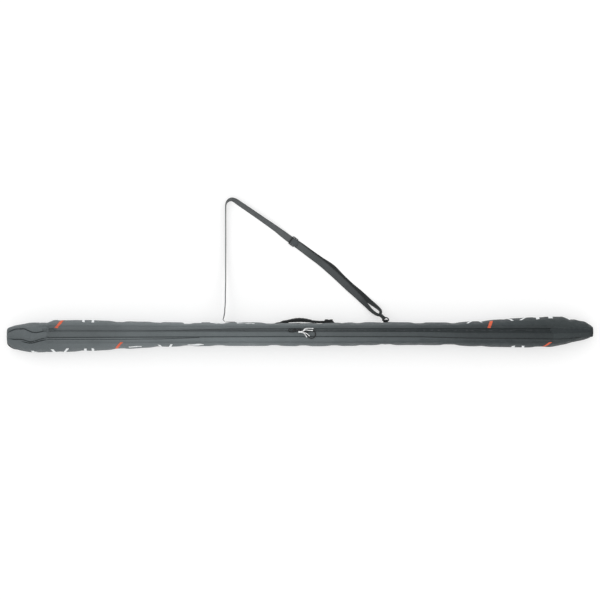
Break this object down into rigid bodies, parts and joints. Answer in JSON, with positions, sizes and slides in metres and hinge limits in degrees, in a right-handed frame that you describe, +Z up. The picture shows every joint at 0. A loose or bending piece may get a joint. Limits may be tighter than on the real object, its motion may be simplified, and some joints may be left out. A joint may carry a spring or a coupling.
{
  "type": "ski bag",
  "caption": "Long slim padded bag for cross-country skis, with a full-length zip, a side carry handle and an adjustable shoulder strap.",
  "frame": {"origin": "centre of the bag's flat bottom, on the floor it lies on, halfway along its length", "axes": "+X along the bag towards its narrower end with the dark binding; +Y towards the carry handle and shoulder strap; +Z up, out of the zipped face"},
  "size_m": [2.1, 0.5565, 0.1269],
  "materials": {
    "shell_cloth": "dark grey coated woven polyester, matt",
    "lining": "near-black coated lining cloth",
    "zip_tape": "dark woven zip tape",
    "zip_coil": "dark nylon coil",
    "grey_webbing": "grey flat webbing, 25 mm",
    "black_webbing": "black flat webbing",
    "black_plastic": "moulded black plastic",
    "dark_metal": "dark lacquered metal",
    "white_cord": "white braided cord and moulded ball",
    "dark_binding": "dark folded binding and piping"
  },
  "bodies": {
    "bag": {"spine_panel": "shell_cloth", "side_panel_strap_side": "shell_cloth", "side_panel_plain_side": "shell_cloth", "zip_face_left_end": "shell_cloth", "zip_face_right_end": "shell_cloth", "end_wall_left": "shell_cloth", "end_wall_right": "shell_cloth", "end_liner_left": "lining", "end_liner_right": "lining", "end_binding_right": "dark_binding", "corner_piping_left": "dark_binding", "zip_end_tab_left": "dark_binding", "zip_end_tab_right": "dark_binding", "handle_foot_left": "black_webbing", "handle_foot_right": "black_webbing", "handle_buckle": "black_plastic", "handle_webbing_tail": "black_webbing", "strap_foot": "grey_webbing", "d_ring_tab": "black_webbing", "end_sleeve_left": "shell_cloth", "end_sleeve_right": "shell_cloth"},
    "lip_plain_side": {"lip_panel_plain_side": "shell_cloth", "zip_welt": "shell_cloth", "zip_tape_plain_side": "zip_tape", "zip_coil_plain_side": "zip_coil"},
    "lip_strap_side": {"lip_panel_strap_side": "shell_cloth", "zip_tape_strap_side": "zip_tape", "zip_coil_strap_side": "zip_coil"},
    "slider_left": {"slider_body_left": "dark_metal", "slider_bridge_left": "dark_metal"},
    "slider_right": {"slider_body_right": "dark_metal", "slider_bridge_right": "dark_metal"},
    "pull_left": {"pull_loop_left": "black_plastic"},
    "pull_right": {"pull_ring_right": "black_plastic", "pull_stopper_ball": "white_cord", "pull_cord_a": "white_cord", "pull_cord_b": "white_cord", "pull_cord_c": "white_cord", "pull_cord_d": "white_cord"},
    "handle": {"handle_grip": "black_webbing", "handle_leg_left": "black_webbing", "handle_leg_right": "black_webbing"},
    "shoulder_strap": {"strap_root": "grey_webbing", "strap_riser": "grey_webbing", "strap_upper_run": "grey_webbing", "strap_lower_run": "grey_webbing", "strap_return_run": "grey_webbing", "strap_eye": "grey_webbing"},
    "tri_glide": {"tri_glide": "black_plastic", "strap_over_glide": "grey_webbing"},
    "d_ring": {"d_ring": "dark_metal"}
  },
  "joints": [
    {"name": "mouth_open", "type": "hinge", "parent": "bag", "child": "lip_plain_side", "pos_m": [0, -0.028, 0.109], "axis": [1, 0, 0], "range_deg": [0, 45], "deforming": ["lip_panel_plain_side", "zip_welt", "zip_tape_plain_side", "zip_coil_plain_side"]},
    {"name": "strap_side_lip_fold", "type": "hinge", "parent": "bag", "child": "lip_strap_side", "pos_m": [0, 0.028, 0.109], "axis": [-1, 0, 0], "range_deg": [0, 50], "deforming": ["lip_panel_strap_side", "zip_tape_strap_side", "zip_coil_strap_side"]},
    {"name": "slider_left_travel", "type": "slide", "parent": "bag", "child": "slider_left", "axis": [-1, 0, 0], "range_m": [0, 0.868]},
    {"name": "slider_right_travel", "type": "slide", "parent": "bag", "child": "slider_right", "axis": [1, 0, 0], "range_m": [0, 0.883]},
    {"name": "pull_left_swing", "type": "hinge", "parent": "slider_left", "child": "pull_left", "pos_m": [-0.0182, 0.014, 0.11865], "axis": [0, 1, 0], "range_deg": [0, 85]},
    {"name": "pull_right_swing", "type": "hinge", "parent": "slider_right", "child": "pull_right", "pos_m": [-0.0032, 0.014, 0.11865], "axis": [-0.309, -0.9511, 0], "range_deg": [0, 85]},
    {"name": "handle_lift", "type": "slide", "parent": "bag", "child": "handle", "axis": [0, 1, 0], "range_m": [0, 0.008]},
    {"name": "strap_swing", "type": "hinge", "parent": "bag", "child": "shoulder_strap", "pos_m": [0, 0.048, 0.057], "axis": [1, 0, 0], "range_deg": [0, 90], "deforming": ["strap_root"]},
    {"name": "d_ring_swing", "type": "hinge", "parent": "bag", "child": "d_ring", "pos_m": [0.3075, 0.048, 0.057], "axis": [1, 0, 0], "range_deg": [0, 90]},
    {"name": "glide_travel", "type": "slide", "parent": "shoulder_strap", "child": "tri_glide", "axis": [0.8039, -0.5948, 0], "range_m": [0, 0.1]}
  ],
  "couplings": [
    {"joint": "strap_side_lip_fold", "follows": "mouth_open", "ratio": 1.11},
    {"joint": "slider_left_travel", "follows": "mouth_open", "m_per_rad": 1.105},
    {"joint": "slider_right_travel", "follows": "mouth_open", "m_per_rad": 1.124},
    {"joint": "d_ring_swing", "follows": "strap_swing", "ratio": 1}
  ]
}
